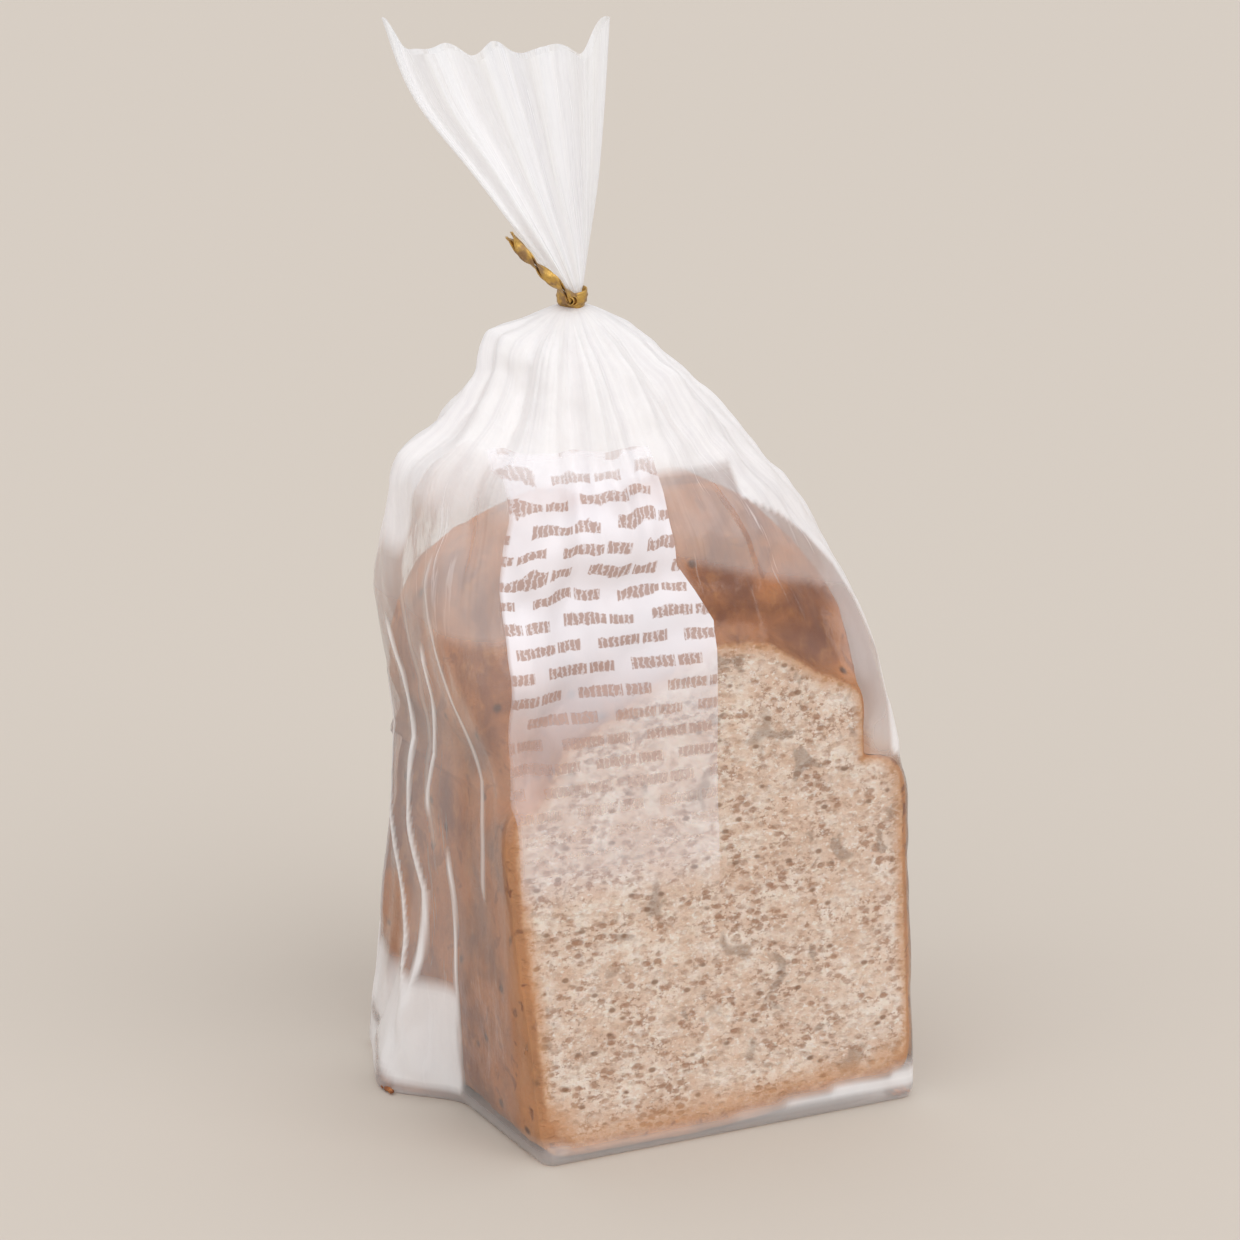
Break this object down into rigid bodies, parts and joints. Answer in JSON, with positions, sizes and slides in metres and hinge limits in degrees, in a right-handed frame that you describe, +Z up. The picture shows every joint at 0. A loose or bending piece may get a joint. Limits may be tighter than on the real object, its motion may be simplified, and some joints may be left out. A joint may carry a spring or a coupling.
{
  "type": "bagged bread loaf",
  "caption": "Half a loaf of wholemeal tin bread standing in a clear film bag, gathered at the neck by a twist tie below a fan of loose film.",
  "frame": {"origin": "middle of the bag's bounding box, on the surface that its base rests on", "axes": "+Z up along the bag towards the gathered neck, -Y the way the cut face of the loaf looks, +X to the right when the cut face is looked at"},
  "size_m": [0.1426, 0.1078, 0.3077],
  "materials": {
    "film": "clear glossy film with bread behind it",
    "tie": "gold coated paper or foil on a wire"
  },
  "bodies": {
    "root": {"filled_bag": "film", "twist_tie": "tie"}
  },
  "joints": []
}
